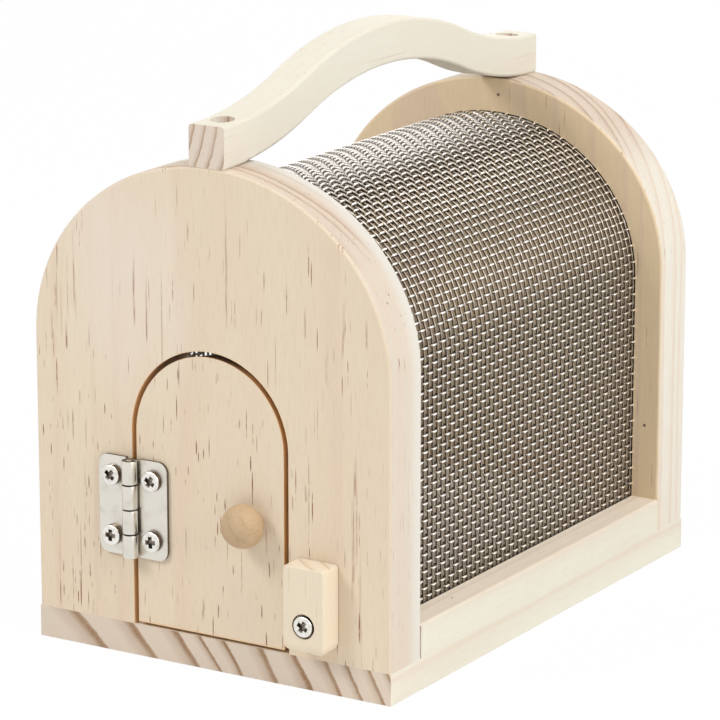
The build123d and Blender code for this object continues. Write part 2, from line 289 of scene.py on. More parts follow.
def pine(name, grain, pith, ring_radii, tones, seed=0.0, duct_amount=1.0, ring_strength=0.34, extras=()):
    """A pine finish. pith is in the plane across the grain, in millimetres."""
    material, tree, shader = new_finish(name)
    coordinates = tree.nodes.new("ShaderNodeTexCoord")
    in_millimetres = stretched(tree, coordinates.outputs["Object"], (1 / mm,) * 3)
    x, y, z = parts_of(tree, in_millimetres)
    steep = {axis: calc(tree, "ABSOLUTE", value)
             for axis, value in zip("XYZ", parts_of(tree, coordinates.outputs["Normal"]))}

    def grained(across, along, shift=0.0):
        scale = (across, along, across) if grain == "Y" else (across, across, along)
        return stretched(tree, in_millimetres, scale, (seed + shift, seed * 1.7 + shift, seed * 0.6 - shift))

    # The board's own tones, with its rings
    late = growth_rings(tree, (x, z) if grain == "Y" else (x, y), pith, ring_radii, grained)
    pale = tones["pale"]
    for tone, axis in (("face", "Y"), ("top", "Z")):
        if tone in tones:
            pale = blend_colour(tree, rise(tree, steep[axis], *face_turn), pale, tones[tone])
    board = blend_colour(tree, part(tree, late, ring_strength), pale, tones["late"])
    end = blend_colour(tree, late, tones["end"], tones["end_late"])
    colour = blend_colour(tree, rise(tree, steep[grain], *end_turn), board, end)

    # Thin coats over them
    warmth = rise(tree, cloudy(tree, grained(0.06, 0.012, 3)), 0.42, 0.62)
    colour = blend_colour(tree, part(tree, warmth, 0.16), colour, tones["late"])
    fibre = cloudy(tree, grained(1.9, 0.16, 11), 4.0, 0.65)
    colour = blend_colour(tree, part(tree, rise(tree, fibre, 0.42, 0.72), 0.22), colour, tones["fibre"])
    mottle = rise(tree, cloudy(tree, stretched(tree, in_millimetres, (2.4,) * 3), 3.0, 0.7), 0.45, 0.75)
    colour = blend_colour(tree, part(tree, mottle, 0.12), colour, tones["fibre"])
    ducts = resin_ducts(tree, (x, y, z), grained, duct_amount)
    colour = blend_colour(tree, ducts, colour, tones["duct"])
    for extra in extras:
        colour = extra(tree, colour, (x, y, z), steep, grained)
    tree.links.new(colour, shader.inputs["Base Color"])

    # A dry sanded surface
    shader.inputs["Specular IOR Level"].default_value = 0.32
    tree.links.new(calc(tree, "SUBTRACT", 0.66, part(tree, late, 0.1)), shader.inputs["Roughness"])
    height = calc(tree, "SUBTRACT", part(tree, fibre, 0.6), part(tree, ducts, 0.8))
    height = calc(tree, "ADD", height, part(tree, late, 0.35))
    add_relief(tree, shader, height, 0.5, 0.06)
    print("finish:", name, "with", len(tree.nodes), "nodes")
    return material


# %% [markdown]
# ## What a saw and a drill leave behind
# The door was cut out of the panel with a thin hot blade, so both sides of the cut
# are burnt brown, and the brown creeps a hair's breadth on to the face. On the walls
# of the cut the browns are painted lighter than burnt wood, as painted light in the
# narrow cut, and they turn nearly black towards the top left of the arch. The mark
# follows the cut's own outline: two straight sides under a half circle, and a foot.
# Deeper in, the burn fades.
# Brad holes are small dark spots at known places.

# %% Saw burns and brad holes
cut_radius = 21.85
cut_spring = 57.3
cut_foot = 8.4
foot_ends = (23.2, 22.7)
far_away = 50.0
face_line = (0.98, 0.6)
wall_reach = (4.5, 4.0)
burn_depth = (-70.0, -73.5)
# The cut's walls turn nearly black towards the top left of the arch
darkening_height = (68.0, 79.0)
darkening_side = (14.0, 4.0)
# These browns are lighter than burnt wood: painted light for the narrow cut
burnt_with_painted_light = (0.72, 0.41, 0.175)
scorched_with_painted_light = (0.80, 0.53, 0.28)
arch_top_darkening = (0.15, 0.065, 0.03)
hole_dark = (0.10, 0.055, 0.03)


def saw_burn(tree, colour, point, steep, grained):
    x, y, z = point
    # The distance from the middle of the cut
    above_spring = calc(tree, "MAXIMUM", calc(tree, "SUBTRACT", z, cut_spring), 0.0)
    reach = distance_between(tree, (x, above_spring), (0.0, 0.0))
    from_side = calc(tree, "ABSOLUTE", calc(tree, "SUBTRACT", reach, cut_radius))
    from_foot = calc(tree, "ABSOLUTE", calc(tree, "SUBTRACT", z, cut_foot))
    beside_foot = calc(tree, "SUBTRACT", 1.0, rise(tree, reach, *foot_ends))
    from_foot = calc(tree, "ADD", from_foot, part(tree, beside_foot, far_away))
    from_cut = calc(tree, "MINIMUM", from_side, from_foot)
    # The thin scorched line on the face
    ragged = calc(tree, "ADD", from_cut, swing(tree, grained(0.9, 0.25, 5), 0.5, 3.0))
    colour = blend_colour(tree, part(tree, rise(tree, ragged, *face_line), 0.65), colour, scorched_with_painted_light)
    # The brown walls of the cut, painted lighter than burnt wood as painted light for the narrow cut, and
    # darker towards the top left of the arch
    soot = cloudy(tree, grained(0.4, 0.12, 23), 3.0)
    darkening_share = part(tree, rise(tree, z, *darkening_height), rise(tree, x, *darkening_side))
    brown = blend_colour(tree, soot, burnt_with_painted_light, scorched_with_painted_light)
    brown = blend_colour(tree, part(tree, darkening_share, 0.85), brown, arch_top_darkening)
    cut_wall = part(tree, rise(tree, steep["Y"], 0.7, 0.4), rise(tree, from_cut, *wall_reach))
    shallow = with_floor(tree, rise(tree, y, *burn_depth), 0.38)
    return blend_colour(tree, part(tree, cut_wall, shallow), colour, brown)


def brad_holes(*places, size=0.55):
    def mark(tree, colour, point, steep, grained):
        for place in places:
            from_hole = distance_between(tree, point, place)
            shown = part(tree, rise(tree, from_hole, size, size * 0.55), 0.9)
            colour = blend_colour(tree, shown, colour, hole_dark)
        return colour
    return mark


# %% [markdown]
# ## What only one board has
# Long reddish grain lines run up the front panel at places of their own, and its
# upper left is paler and cooler sapwood. The rim of the front panel whitens towards
# its inner edge, and the back panel's outer face is the paler side of its board.
# Each of these is a coat that a board may ask for as an extra.

# %% Marks of single boards
streak_red = (0.33, 0.15, 0.085)
sapwood = (0.80, 0.71, 0.62)
sapwood_middle = (-26.0, 97.0)
sapwood_edge = (42.0, 14.0)
white_rim = (0.72, 0.69, 0.62)
rim_depth = (-68.0, -62.5)
back_face = (0.74, 0.70, 0.66)
back_depth = (74.0, 74.8)


def long_streaks(*lines):
    """Grain lines on the face: middle x, lower end, upper end, half width, strength."""
    def draw(tree, colour, point, steep, grained):
        x, y, z = point
        swaying_x = calc(tree, "ADD", x, swing(tree, grained(0.12, 0.05, 71), 1.6))
        streaks = 0.0
        for middle, low, high, half_width, strength in lines:
            length = high - low
            aside = calc(tree, "ABSOLUTE", calc(tree, "SUBTRACT", swaying_x, middle))
            line = part(tree, rise(tree, aside, half_width * 1.5, half_width * 0.3), strength)
            line = part(tree, line, rise(tree, z, low, low + 0.2 * length))
            line = part(tree, line, rise(tree, z, high, low + 0.4 * length))
            streaks = calc(tree, "MAXIMUM", streaks, line)
        worn = rise(tree, cloudy(tree, grained(1.4, 0.22, 73)), 0.30, 0.60)
        shown = part(tree, streaks, with_floor(tree, worn, 0.25))
        shown = part(tree, shown, rise(tree, steep["Y"], 0.6, 0.9))
        return blend_colour(tree, shown, colour, streak_red)
    return draw


def pale_patch(tree, colour, point, steep, grained):
    x, y, z = point
    middle_x, middle_z = sapwood_middle
    above = part(tree, calc(tree, "SUBTRACT", z, middle_z), 0.6)
    far = distance_between(tree, (x, above), (middle_x, 0.0))
    far = calc(tree, "ADD", far, part(tree, cloudy(tree, grained(0.12, 0.03, 61)), 26.0))
    return blend_colour(tree, part(tree, rise(tree, far, *sapwood_edge), 0.55), colour, sapwood)


def pale_rim(tree, colour, point, steep, grained):
    inward = part(tree, rise(tree, point[1], *rim_depth), rise(tree, steep["Y"], 0.9, 0.5))
    return blend_colour(tree, part(tree, inward, 0.9), colour, white_rim)


def pale_back(tree, colour, point, steep, grained):
    return blend_colour(tree, part(tree, rise(tree, point[1], *back_depth), 0.4), colour, back_face)


# %% [markdown]
# ## Tones of the boards
# Each board has a pale tone and, where they differ, tones for its faces or its top.
# Over these lie the tones of its late wood, end grain, fibres and ducts. The two
# panels are warm with pale rims, and the base, the handle and the button are paler.
# The knob was turned from a browner wood.

# %% Tones
warm_tones = {
    "pale": (0.68, 0.60, 0.50), "face": (0.765, 0.65, 0.492), "late": (0.72, 0.55, 0.41),
    "end": (0.66, 0.56, 0.46), "end_late": (0.42, 0.28, 0.19),
    "fibre": (0.62, 0.46, 0.32), "duct": (0.24, 0.09, 0.04)}
back_tones = dict(warm_tones, pale=(0.78, 0.74, 0.65), face=(0.80, 0.635, 0.41))
base_tones = {
    "pale": (0.775, 0.748, 0.635), "top": (0.90, 0.80, 0.655), "late": (0.72, 0.585, 0.46),
    "end": (0.71, 0.61, 0.505), "end_late": (0.27, 0.135, 0.05),
    "fibre": (0.68, 0.56, 0.43), "duct": (0.46, 0.29, 0.19)}
handle_tones = {
    "pale": (0.75, 0.715, 0.61), "late": (0.76, 0.635, 0.50),
    "end": (0.72, 0.62, 0.53), "end_late": (0.42, 0.28, 0.19),
    "fibre": (0.72, 0.61, 0.47), "duct": (0.50, 0.33, 0.21)}
button_tones = dict(handle_tones, pale=(0.795, 0.69, 0.53), end=(0.76, 0.66, 0.52),
                    end_late=(0.62, 0.48, 0.35))
knob_tones = {
    "pale": (0.545, 0.39, 0.235), "late": (0.50, 0.34, 0.195),
    "end": (0.525, 0.375, 0.225), "end_late": (0.48, 0.33, 0.19),
    "fibre": (0.27, 0.16, 0.08), "duct": (0.28, 0.17, 0.09)}
print("tones of the warm pine:", ", ".join(warm_tones))

# %% [markdown]
# ## Which board gets which pine
# The two panels were cut upright from one wide board. The base runs from front to
# back and shows strong slanted stripes on its front end. The handle was sawn from a
# pale strip. The door is the piece that was cut out of the front panel, so it has
# the same pine at the same place, and the bands run on across the cut.

# %% Boards
# Ring radii in millimetres from the pith
panel_rings = [86 + 4.1 * step + 0.8 * (step % 3) for step in range(20)]
base_rings = [97, 106, 117.2, 127.1, 132.2, 137.4, 146.3, 154.9, 162.2, 167.2, 172.7, 177, 182, 188]
strip_rings = [30 + 4.2 * step for step in range(20)]
handle_rings = [47, 50.5, 53.9, 57, 60.2, 63.7, 68.4, 73, 78]
knob_rings = [10 + 3.1 * step for step in range(14)]

front_streaks = long_streaks(
    (5.3, 84, 122, 0.24, 0.62), (-21.2, 82, 104, 0.26, 0.75), (-17.6, 78, 99, 0.24, 0.75),
    (-39.1, 84, 110, 0.24, 0.60), (-43.0, 77, 94, 0.20, 0.45), (-41.5, 74.5, 83, 0.30, 0.85),
    (-5.5, 105.5, 112, 0.28, 0.75), (-45.9, 76, 86, 0.22, 0.50), (27.3, 86, 96, 0.28, 0.60),
    (37.7, 82, 99, 0.30, 0.60), (44.0, 86, 94.5, 0.28, 0.60), (33.5, 75, 89, 0.55, 0.26),
    (41.1, 49, 62, 0.34, 0.60), (40.5, 22, 54, 0.42, 0.55), (42.7, 10, 42, 0.26, 0.38),
    (-44.6, 11, 34, 0.22, 0.42), (-2.0, 12.5, 19, 0.28, 0.70), (27.4, 46.5, 52, 0.30, 0.70))
front_pine = pine("front_pine", "Z", (14.0, 38.0), panel_rings, warm_tones, seed=2.0,
                  ring_strength=0.42, extras=(pale_patch, front_streaks, pale_rim, saw_burn))
back_pine = pine("back_pine", "Z", (-22.0, -42.0), panel_rings, back_tones, seed=9.0,
                 duct_amount=0.55, ring_strength=0.6,
                 extras=(pale_back, brad_holes((1.5, 61, 120.2), (46.6, 61, 36.3))))
base_pine = pine("base_pine", "Y", (-106.4, -74.2), base_rings, base_tones, seed=4.0,
                 duct_amount=0.25, ring_strength=0.55,
                 extras=(brad_holes((46.8, -39.3, 16.5), size=0.4),))
handle_pine = pine("handle_pine", "Y", (-56.0, 145.5), handle_rings, handle_tones, seed=6.0,
                   duct_amount=0.5, ring_strength=0.3)
button_pine = pine("button_pine", "Z", (70.0, -30.0), strip_rings, button_tones, seed=13.0,
                   duct_amount=0.3, ring_strength=0.2)
stop_pine = pine("stop_pine", "Z", (40.0, -120.0), strip_rings, warm_tones, seed=17.0)
knob_wood = pine("knob_wood", "Y", (40.0, 60.0), knob_rings, knob_tones, seed=21.0,
                 duct_amount=0.25, ring_strength=0.3)


# %% Finishes on their boards
def give(finish, *names):
    for name in names:
        materials = cage_nodes[name].data.materials
        materials.clear()
        materials.append(finish)
        print(name, "has", finish.name)


give(front_pine, "front_panel", "door")
give(back_pine, "back_panel")
give(base_pine, "base_board")
give(handle_pine, "handle")
give(button_pine, "turn_button")
give(stop_pine, "door_stop")
give(knob_wood, "door_knob")


# %% [markdown]
# ## Metals
# The hinge is nickel-plated sheet with a satin face and faint smudges. The screws are
# plated too. Some faces carry a number from 0 to 1, which the finish turns into a
# darker metal: dirt in the cross slots and bare metal on the sheared edges, together
# with painted shade between the knuckles, in the crease beside each curl, in the slots
# and on the sides of the screw heads.

# %% Metals
# The darker metal stands for dirt and for painted shade
plain_dirt_and_shade = (0.10, 0.075, 0.05)
screw_dirt_and_shade = (0.12, 0.09, 0.065)


def metal(name, bright, dull, roughness, smears_per_metre, dirt_and_shade=plain_dirt_and_shade):
    """roughness is a pair: for the bright metal and for the dull smears on it."""
    material, tree, shader = new_finish(name)
    coordinates = tree.nodes.new("ShaderNodeTexCoord")
    smear = cloudy(tree, stretched(tree, coordinates.outputs["Object"], (smears_per_metre,) * 3), 4.0, 0.6)
    share = rise(tree, smear, 0.45, 0.72)
    # A number on each face turns the metal darker: for dirt and bare edges, and as painted shade in gaps and
    # recesses
    grime_and_shade = tree.nodes.new("ShaderNodeAttribute")
    grime_and_shade.attribute_name = "grime_and_shade"
    colour = blend_colour(tree, share, bright, dull)
    colour = blend_colour(tree, grime_and_shade.outputs["Fac"], colour, dirt_and_shade)
    tree.links.new(colour, shader.inputs["Base Color"])
    rough = calc(tree, "MULTIPLY_ADD", share, roughness[1] - roughness[0], roughness[0])
    tree.links.new(rough, shader.inputs["Roughness"])
    shader.inputs["Metallic"].default_value = 1.0
    add_relief(tree, shader, smear, 0.25, 0.04)
    print("finish:", name)
    return material


nickel = metal("nickel", (0.75, 0.715, 0.645), (0.66, 0.62, 0.54), (0.30, 0.40), 240)
screw_steel = metal("screw_steel", (0.86, 0.84, 0.79), (0.66, 0.62, 0.56), (0.24, 0.34), 900, screw_dirt_and_shade)
pin_steel = metal("pin_steel", (0.30, 0.27, 0.22), (0.18, 0.155, 0.12), (0.35, 0.5), 900)
give(screw_steel, "handle_screws", "panel_screws", "knob_screw")
give(pin_steel, "hinge_pin")


# %% [markdown]
# ## Modelling by hand
# The hinge and its screws are shaped as in edit mode: start from a primitive, pick
# faces or edges by where they are, and extrude, bevel, spin or cut them. These
# helpers start and end such a piece, and pick faces in code instead of by mouse.

# %% Edit mode helpers
def start_piece(name):
    piece = bpy.context.object
    piece.name = name
    piece.data.name = name
    bpy.ops.object.transform_apply(location=True, rotation=True, scale=True)
    bpy.ops.object.mode_set(mode="EDIT")
    bpy.ops.mesh.select_all(action="DESELECT")
    bpy.ops.object.mode_set(mode="OBJECT")
    return piece


def pick_faces(piece, wanted):
    """Leaves edit mode with just those faces picked whose middle and normal are wanted."""
    bpy.ops.object.mode_set(mode="EDIT")
    bpy.ops.mesh.select_mode(type="FACE")
    bpy.ops.mesh.select_all(action="DESELECT")
    bpy.ops.object.mode_set(mode="OBJECT")
    for face in piece.data.polygons:
        face.select = wanted(face.center / mm, face.normal)
    count = sum(face.select for face in piece.data.polygons)
    bpy.ops.object.mode_set(mode="EDIT")
    return count


def pick_edges(piece, wanted):
    """The same for edges, by their middle and direction."""
    bpy.ops.object.mode_set(mode="EDIT")
    bpy.ops.mesh.select_mode(type="EDGE")
    bpy.ops.mesh.select_all(action="DESELECT")
    bpy.ops.object.mode_set(mode="OBJECT")
    points = piece.data.vertices
    for edge in piece.data.edges:
        first, second = (points[index].co / mm for index in edge.vertices)
        edge.select = wanted((first + second) / 2, (second - first).normalized())
    count = sum(edge.select for edge in piece.data.edges)
    bpy.ops.object.mode_set(mode="EDIT")
    return count


def soften(piece, width, segments=2, angle=35):
    """Rounds the sharp edges a little and shades the piece smooth but for its corners."""
    bpy.ops.object.mode_set(mode="OBJECT")
    bevel = piece.modifiers.new("soft_edges", "BEVEL")
    bevel.width = width * mm
    bevel.segments = segments
    bevel.limit_method = "ANGLE"
    bevel.angle_limit = math.radians(angle)
    bpy.ops.object.modifier_apply(modifier="soft_edges")
    bpy.ops.object.shade_smooth_by_angle(angle=math.radians(40))


def add_grime_and_shade(piece, amount):
    """Gives each face its number for dirt and painted shade, worked out from its middle and its normal."""
    values = [amount(face.center / mm, face.normal) for face in piece.data.polygons]
    layer = piece.data.attributes.new("grime_and_shade", "FLOAT", "FACE")
    layer.data.foreach_set("value", values)


def dress(piece, finish, body, node):
    piece.data.materials.clear()
    piece.data.materials.append(finish)
    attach(piece, body)
    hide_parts(node)
    print(piece.name, "has", len(piece.data.polygons), "faces and rides on", body)


# %% [markdown]
# ## The hinge leaves
# A small butt hinge is stamped from sheet, and tongues at its inner edge are curled
# round the pin. A cylinder stuck to a plate would hide that, so each leaf is a
# plate whose tongue faces are pulled out to the pin and then spun round it, just as
# the press does it. The ends of the curls and the crease beside them are painted dark
# as painted shade, and the sheared rims are painted dark for bare metal and painted shade.

# %% Hinge leaves
hinge_x = -21.85
hinge_y = -77.2
board_front_y = -75.0
hinge_low_z = 25.5
hinge_height = 25.0
leaf_width = 10.0
leaf_thickness = 0.9
leaf_corner = 2.6
tongue_start = 1.95
curl_start = 0.9
curl_radius = 1.95
curl_gap = 0.38
curl_turn = 285
curl_steps = 22
leaf_softness = 0.10
knuckle_pitch = hinge_height / 4


def curled_leaf(name, side, knuckles):
    """A leaf reaching left (-1) or right (1) of the pin, with its own curled knuckles."""
    inner, outer = hinge_x + side * tongue_start, hinge_x + side * leaf_width
    bpy.ops.object.select_all(action="DESELECT")
    bpy.ops.mesh.primitive_cube_add(
        size=1,
        location=((inner + outer) / 2 * mm, (board_front_y - leaf_thickness / 2) * mm,
                  (hinge_low_z + hinge_height / 2) * mm),
        scale=(abs(outer - inner) * mm, leaf_thickness * mm, hinge_height * mm))
    leaf = start_piece(name)
    # Rounded outer corners
    pick_edges(leaf, lambda middle, way: abs(way.y) > 0.9 and abs(middle.x - outer) < 0.01)
    bpy.ops.mesh.bevel(offset=leaf_corner * mm, segments=8, affect="EDGES")
    # Cuts above and below every tongue
    tongues = [(hinge_low_z + index * knuckle_pitch + curl_gap / 2,
                hinge_low_z + (index + 1) * knuckle_pitch - curl_gap / 2) for index in knuckles]
    for height in [z for tongue in tongues for z in tongue]:
        bpy.ops.mesh.select_all(action="SELECT")
        bpy.ops.mesh.bisect(plane_co=(0, 0, height * mm), plane_no=(0, 0, 1))
    # Tongues pulled to the pin and lifted under it, then curled round it
    found = pick_faces(leaf, lambda middle, normal: abs(middle.x - inner) < 0.01
                       and any(low < middle.z < high for low, high in tongues))
    lift = hinge_y + curl_radius - board_front_y
    bpy.ops.mesh.extrude_region_move(
        TRANSFORM_OT_translate={"value": (-side * (tongue_start - curl_start) * mm, lift * mm, 0)})
    bpy.ops.mesh.extrude_region_move(TRANSFORM_OT_translate={"value": (-side * curl_start * mm, 0, 0)})
    bpy.ops.mesh.spin(steps=curl_steps, angle=-side * math.radians(curl_turn),
                      center=(hinge_x * mm, hinge_y * mm, 0), axis=(0, 0, 1))
    bpy.ops.mesh.select_all(action="SELECT")
    bpy.ops.mesh.remove_doubles(threshold=0.01 * mm)
    bpy.ops.mesh.normals_make_consistent(inside=False)
    soften(leaf, leaf_softness)
    print(name, "has", found, "tongues")

    def grime_and_shade(middle, normal):
        from_pin = math.hypot(middle.x - hinge_x, middle.y - hinge_y)
        # Painted shade on the knuckles' ends, in the gaps between knuckles
        if from_pin < curl_radius + 0.05:
            return 0.95 if abs(normal.z) > 0.5 else 0.0
        # Painted shade in the crease beside the curl
        if from_pin < curl_radius + 0.65 and abs(normal.y) < 0.8:
            return 1.0
        # The sheared rims: bare metal and painted shade
        return 0.85 if abs(normal.y) < 0.5 else 0.0

    add_grime_and_shade(leaf, grime_and_shade)
    return leaf


frame_leaf = curled_leaf("hinge_leaf_frame", -1, (0, 2))
door_leaf = curled_leaf("hinge_leaf_door", 1, (1, 3))
dress(frame_leaf, nickel, "cage", "hinge_frame_leaf")
dress(door_leaf, nickel, "door", "hinge_door_leaf")

# %% [markdown]
# ## Pan head screws
# Five like screws hold the hinge and the turn button. Their heads are low drums with
# a rounded shoulder and a cross slot. One is modelled lying at the origin with its
# head towards the front. The slot is cut by two tapered bars. Each copy is turned by
# a given angle, because no two screws ever stop at the same angle.

# %% One screw
head_radius = 2.6
head_height = 1.5
shoulder = 0.38
shank_radius = 1.2
shank_length = 9.0
tip_length = 1.5
slot_length = 3.9
slot_width = 1.35
slot_depth = 0.85


def slot_cutter(turn):
    bpy.ops.object.select_all(action="DESELECT")
    bpy.ops.mesh.primitive_cube_add(size=1, location=(0, -head_height * mm, 0),
                                    scale=(slot_length * mm, 2 * slot_depth * mm, slot_width * mm))
    bar = start_piece("slot_cutter")
    pick_faces(bar, lambda middle, normal: normal.y > 0.9)
    bpy.ops.transform.resize(value=(0.5, 1, 0.65), center_override=(0, 0, 0))
    bpy.ops.object.mode_set(mode="OBJECT")
    bar.data.transform(Matrix.Rotation(math.radians(turn), 4, "Y"))
    return bar


def pan_screw():
    bpy.ops.object.select_all(action="DESELECT")
    bpy.ops.mesh.primitive_cylinder_add(
        vertices=40, radius=head_radius * mm, depth=head_height * mm,
        location=(0, -head_height / 2 * mm, 0), rotation=(math.pi / 2, 0, 0))
    screw = start_piece("pan_screw")
    pick_faces(screw, lambda middle, normal: normal.y > 0.9)
    bpy.ops.mesh.inset(thickness=(head_radius - shank_radius) * mm)
    for length in (shank_length - tip_length, tip_length):
        bpy.ops.mesh.extrude_region_move(TRANSFORM_OT_translate={"value": (0, length * mm, 0)})
    bpy.ops.transform.resize(value=(0.2, 1, 0.2), center_override=(0, 0, 0))
    pick_edges(screw, lambda middle, way: middle.y < -head_height + 0.01)
    bpy.ops.mesh.bevel(offset=shoulder * mm, segments=5, affect="EDGES")
    bpy.ops.object.mode_set(mode="OBJECT")
    for turn in (0, 90):
        bar = slot_cutter(turn)
        bpy.context.view_layer.objects.active = screw
        cut = screw.modifiers.new("slot", "BOOLEAN")
        cut.operation = "DIFFERENCE"
        cut.solver = "EXACT"
        cut.object = bar
        bpy.ops.object.modifier_apply(modifier="slot")
        bpy.data.objects.remove(bar, do_unlink=True)
    bpy.ops.object.select_all(action="DESELECT")
    screw.select_set(True)
    bpy.ops.object.shade_smooth_by_angle(angle=math.radians(30))

    def grime_and_shade(middle, normal):
        from_axis = math.hypot(middle.x, middle.z)
        # Dirt and painted shade in the cross slot
        if from_axis < 2.0 and -head_height + 0.03 < middle.y < -0.3:
            return 0.85
        # Painted shade on the head's side wall
        return 1.0 if abs(normal.y) < 0.45 and from_axis > 2.3 else 0.0

    add_grime_and_shade(screw, grime_and_shade)
    return screw


master_screw = pan_screw()
print("one screw has", len(master_screw.data.polygons), "faces")

# %% Screws in their places
screw_inset = 4.1
screw_spread = 15.3
leaf_face_y = board_front_y - leaf_thickness
left_x, right_x = (hinge_x + side * (leaf_width - screw_inset) for side in (-1, 1))
low_z, high_z = (hinge_low_z + (hinge_height + side * screw_spread) / 2 for side in (-1, 1))
button_low, button_high = (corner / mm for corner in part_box("turn_button_screw"))
button_middle = (button_low + button_high) / 2
button_spot = (button_middle.x, button_low.y + head_height, button_middle.z)
screw_places = {
    "screw_frame_high": ((left_x, leaf_face_y, high_z), 38, "cage", "hinge_frame_screws"),
    "screw_frame_low": ((left_x, leaf_face_y, low_z), 2, "cage", "hinge_frame_screws"),
    "screw_door_high": ((right_x, leaf_face_y, high_z), 28, "door", "hinge_door_screws"),
    "screw_door_low": ((right_x, leaf_face_y, low_z), -4, "door", "hinge_door_screws"),
    "screw_button": (button_spot, 27, "cage", "turn_button_screw"),
}
for name, (spot, turn, body, node) in screw_places.items():
    screw = master_screw.copy()
    screw.data = master_screw.data.copy()
    screw.name = name
    bpy.context.scene.collection.objects.link(screw)
    screw.data.transform(Matrix.Rotation(math.radians(turn), 4, "Y"))
    screw.data.transform(Matrix.Translation(Vector(spot) * mm))
    dress(screw, screw_steel, body, node)
bpy.data.objects.remove(master_screw, do_unlink=True)


# %% [markdown]
# ## The woven wire hood
# The hood is plain weave: hoops that follow the arch, and straight runners from
# panel to panel, each passing over one wire and under the next. A flat net with a
# pattern painted on it would look dead from close by, so every wire is real here.
# Each wire is a curve whose line rises and falls like a wave. The hoops are stiff and
# stay nearly level, while the runners bend round them in deep waves with flattened
# crests. Hoops are all alike, so one is made and an Array modifier repeats it at
# every second place, and the hoops between them weave the other way round.

# %% Hood measures
wire_radius = 0.34
hoop_wave = 0.06
runner_wave = 0.50
runner_flatness = 0.22
wire_pitch = 2.15
hood_low, hood_high = (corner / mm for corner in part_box("wire_mesh"))
hood_sheet = 0.9
hood_spring = 76.0
half_width = hood_high.x - hood_sheet / 2
arch_rise = hood_high.z - hood_spring - hood_sheet / 2
straight = hood_spring - hood_low.z

arch_steps = 1440
arch_angles = [math.pi * step / arch_steps for step in range(arch_steps + 1)]
arch_line = [Vector((half_width * math.cos(a), arch_rise * math.sin(a))) for a in arch_angles]
arch_lengths = [0.0]
for before, after in zip(arch_line, arch_line[1:]):
    arch_lengths.append(arch_lengths[-1] + (after - before).length)
hood_length = 2 * straight + arch_lengths[-1]
runner_count = round(hood_length / wire_pitch)
hoop_count = round((hood_high.y - hood_low.y) / wire_pitch)
runner_pitch = hood_length / runner_count
hoop_pitch = (hood_high.y - hood_low.y) / hoop_count
print("hood sheet is", round(hood_length, 1), "mm round,", runner_count, "runners,", hoop_count, "hoops")


def on_hood(distance):
    """The point and the outward direction at a distance along the arch, from its right foot."""
    if distance <= straight:
        return Vector((half_width, hood_low.z + distance)), Vector((1, 0))
    if distance >= hood_length - straight:
        return Vector((-half_width, hood_low.z + hood_length - distance)), Vector((-1, 0))
    arch_distance = distance - straight
    step = min(bisect.bisect_left(arch_lengths, arch_distance), arch_steps)
    angle = arch_angles[max(step, 1)]
    span = arch_lengths[step] - arch_lengths[step - 1]
    angle -= (math.pi / arch_steps) * (arch_lengths[step] - arch_distance) / span
    point = Vector((half_width * math.cos(angle), hood_spring + arch_rise * math.sin(angle)))
    outward = Vector((math.cos(angle) / half_width, math.sin(angle) / arch_rise)).normalized()
    return point, outward


# %% [markdown]
# ## Steel with painted highlights on its crests
# The wires' highlights and their shade are painted into the steel's colour. The
# outermost crests are painted bright as painted highlights, the sides stay a dull
# brownish steel, and the hollows are painted darker as painted shade. How far a point
# stands out from the middle of the net can be worked out from its place alone: the
# net's line is a half ellipse on two straight legs. That distance mixes the painted
# shade, the dull steel and the painted highlight, so the highlight sits on the crests
# from every side. The very crown of the hood is painted lighter too, as a painted reflection.

# %% Wire steel
# Painted shade for the hollows, dull steel for the sides, a painted highlight for the crests
painted_hollow_shade = (0.14, 0.112, 0.084)
side_steel = (0.29, 0.245, 0.195)
painted_crown_reflection = (0.66, 0.65, 0.63)
painted_crest_highlight = (0.99, 0.945, 0.89)


def highlighted_steel(name, crest_start, crest_end):
    """Steel painted bright as a highlight between two distances from the net's middle, in millimetres, and
    painted darker as shade further in.
    """
    material, tree, shader = new_finish(name)
    coordinates = tree.nodes.new("ShaderNodeTexCoord")
    x, y, z = parts_of(tree, coordinates.outputs["Object"])
    across = calc(tree, "DIVIDE", x, half_width * mm)
    above = calc(tree, "SUBTRACT", z, hood_spring * mm)
    upward = calc(tree, "DIVIDE", calc(tree, "MAXIMUM", above, 0.0), arch_rise * mm)
    beyond = calc(tree, "SUBTRACT", distance_between(tree, (across, upward), (0.0, 0.0)), 1.0)
    outward = part(tree, beyond, (half_width + arch_rise) / 2)
    # A little noise makes the edge of the painted highlight uneven
    crest_jitter = swing(tree, stretched(tree, coordinates.outputs["Object"], (900, 900, 900)), 0.06)
    outward = calc(tree, "ADD", outward, crest_jitter)
    sides = rise(tree, outward, -0.10, crest_start)
    crest = rise(tree, outward, crest_start, crest_end)
    # Painted shade in the hollows, turning into the dull steel of the sides
    colour = blend_colour(tree, sides, painted_hollow_shade, side_steel)
    # A painted reflection makes the dull steel lighter on the crown of the hood
    colour = blend_colour(tree, part(tree, rise(tree, upward, 0.93, 1.0), 0.5), colour, painted_crown_reflection)
    # The painted highlight on the crests
    colour = blend_colour(tree, crest, colour, painted_crest_highlight)
    tree.links.new(colour, shader.inputs["Base Color"])
    tree.links.new(calc(tree, "MULTIPLY_ADD", sides, -0.22, 0.55), shader.inputs["Roughness"])
    shader.inputs["Metallic"].default_value = 1.0
    print("finish:", name, "with", len(tree.nodes), "nodes")
    return material


hoop_steel = highlighted_steel("hoop_steel", 0.30, 0.385)
runner_steel = highlighted_steel("runner_steel", 0.57, 0.70)

# %% Wires
samples_per_crossing = 3


